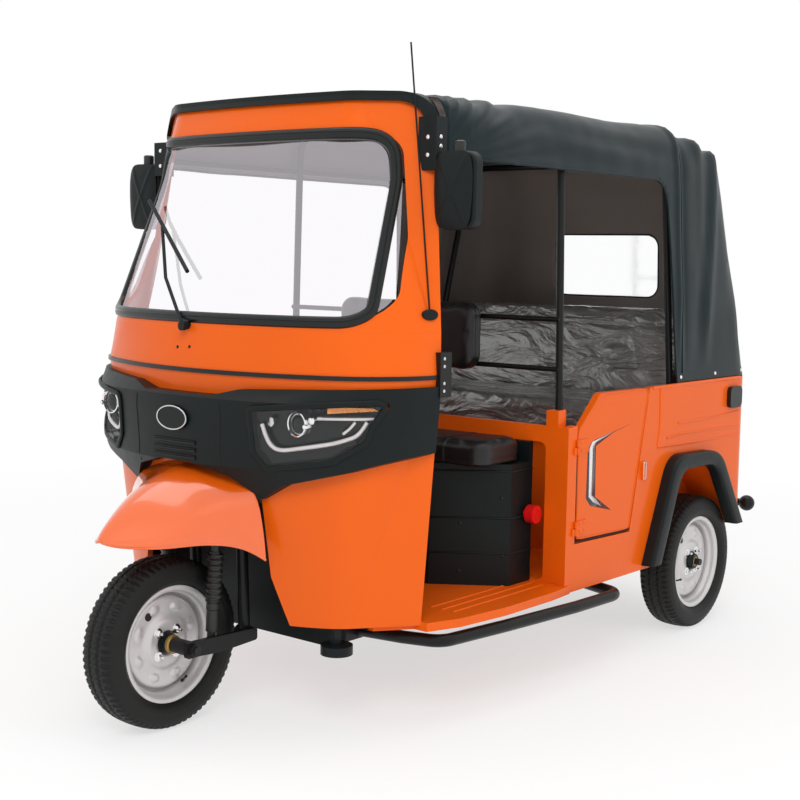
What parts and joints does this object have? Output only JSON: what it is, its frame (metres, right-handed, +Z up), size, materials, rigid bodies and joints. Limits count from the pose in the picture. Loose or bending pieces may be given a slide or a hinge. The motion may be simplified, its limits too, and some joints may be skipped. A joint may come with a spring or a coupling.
{
  "type": "passenger auto rickshaw",
  "caption": "Three-wheeled passenger auto rickshaw: steered front wheel, driver cab behind a curved cowl, low side doors and a rear bench under a fabric canopy.",
  "frame": {"origin": "on the ground, in the middle of the overall length and width", "axes": "-Y forward, +X to the vehicle's left, +Z up"},
  "size_m": [1.396, 2.6799, 1.8973],
  "materials": {
    "body_paint": "orange gloss paint on pressed steel",
    "frame_paint": "black satin paint on steel",
    "black_plastic": "grained black moulded plastic",
    "seal_rubber": "black rubber",
    "glass": "clear laminated glass",
    "lens": "clear lamp lens",
    "red_lens": "red lamp lens",
    "tyre_rubber": "tyre rubber",
    "rim_steel": "silver painted pressed steel",
    "steel": "bare and plated steel",
    "cast_metal": "cast iron and alloy, dark",
    "canopy_fabric": "coated canvas, dark blue-green",
    "seat_vinyl": "black vinyl",
    "clear_sheet": "clear flexible sheet",
    "red_plastic": "red moulded plastic",
    "plate_white": "blank plate"
  },
  "bodies": {
    "root": {"antenna": "black_plastic", "badge": "black_plastic", "belt_trim": "seal_rubber", "brake_pedal": "black_plastic", "canopy": "canopy_fabric", "chassis_frame": "frame_paint", "corner_buffers": "seal_rubber", "dash_tray": "black_plastic", "door_fittings": "body_paint", "driver_backrest": "seat_vinyl", "driver_cushion": "seat_vinyl", "engine_block": "cast_metal", "exhaust": "steel", "floor_pan": "body_paint", "front_fender": "body_paint", "headlamps": "lens", "horn": "black_plastic", "lamp_panel": "black_plastic", "leaf_springs": "frame_paint", "lower_cowl": "body_paint", "mirrors": "black_plastic", "number_plate": "plate_white", "partition": "body_paint", "post_brackets": "frame_paint", "rear_axle": "cast_metal", "rear_bumper": "frame_paint", "rear_panel": "body_paint", "rear_seat_back": "seat_vinyl", "rear_seat_base": "body_paint", "rear_seat_cushion": "seat_vinyl", "rear_window": "clear_sheet", "red_knob": "red_plastic", "roof_frame": "frame_paint", "roof_visor": "black_plastic", "seat_box": "black_plastic", "side_panels": "body_paint", "side_steps": "frame_paint", "tail_lamps": "red_lens", "upper_cowl": "body_paint", "wheel_flares": "black_plastic", "wheel_guard": "black_plastic", "wheel_houses": "body_paint", "windshield_glass": "glass", "windshield_seal": "seal_rubber", "wiper": "black_plastic"},
    "steering": {"fork": "frame_paint", "link_arms": "frame_paint", "shocks": "steel", "front_axle": "steel", "handlebar": "black_plastic"},
    "front_wheel": {"front_tyre": "tyre_rubber", "front_rim": "rim_steel"},
    "rear_wheel_left": {"rear_left_tyre": "tyre_rubber", "rear_left_rim": "rim_steel"},
    "rear_wheel_right": {"rear_right_tyre": "tyre_rubber", "rear_right_rim": "rim_steel"},
    "door_left": {"door_left": "body_paint"},
    "door_right": {"door_right": "body_paint"}
  },
  "joints": [
    {"name": "steer", "type": "hinge", "parent": "root", "child": "steering", "pos_m": [0, -0.93817, 0.554], "axis": [0, 0.3746, 0.9272], "range_deg": [-38, 38]},
    {"name": "front_roll", "type": "hinge", "parent": "steering", "child": "front_wheel", "pos_m": [0, -1.1, 0.24], "axis": [1, 0, 0], "continuous": true},
    {"name": "rear_left_roll", "type": "hinge", "parent": "root", "child": "rear_wheel_left", "pos_m": [0.562, 0.9, 0.24], "axis": [1, 0, 0], "continuous": true},
    {"name": "rear_right_roll", "type": "hinge", "parent": "root", "child": "rear_wheel_right", "pos_m": [-0.562, 0.9, 0.24], "axis": [1, 0, 0], "continuous": true},
    {"name": "door_left_swing", "type": "hinge", "parent": "root", "child": "door_left", "pos_m": [0.636, 0.033, 0.6], "axis": [0, 0, -1], "range_deg": [0, 85]},
    {"name": "door_right_swing", "type": "hinge", "parent": "root", "child": "door_right", "pos_m": [-0.636, 0.033, 0.6], "axis": [0, 0, 1], "range_deg": [0, 85]}
  ]
}
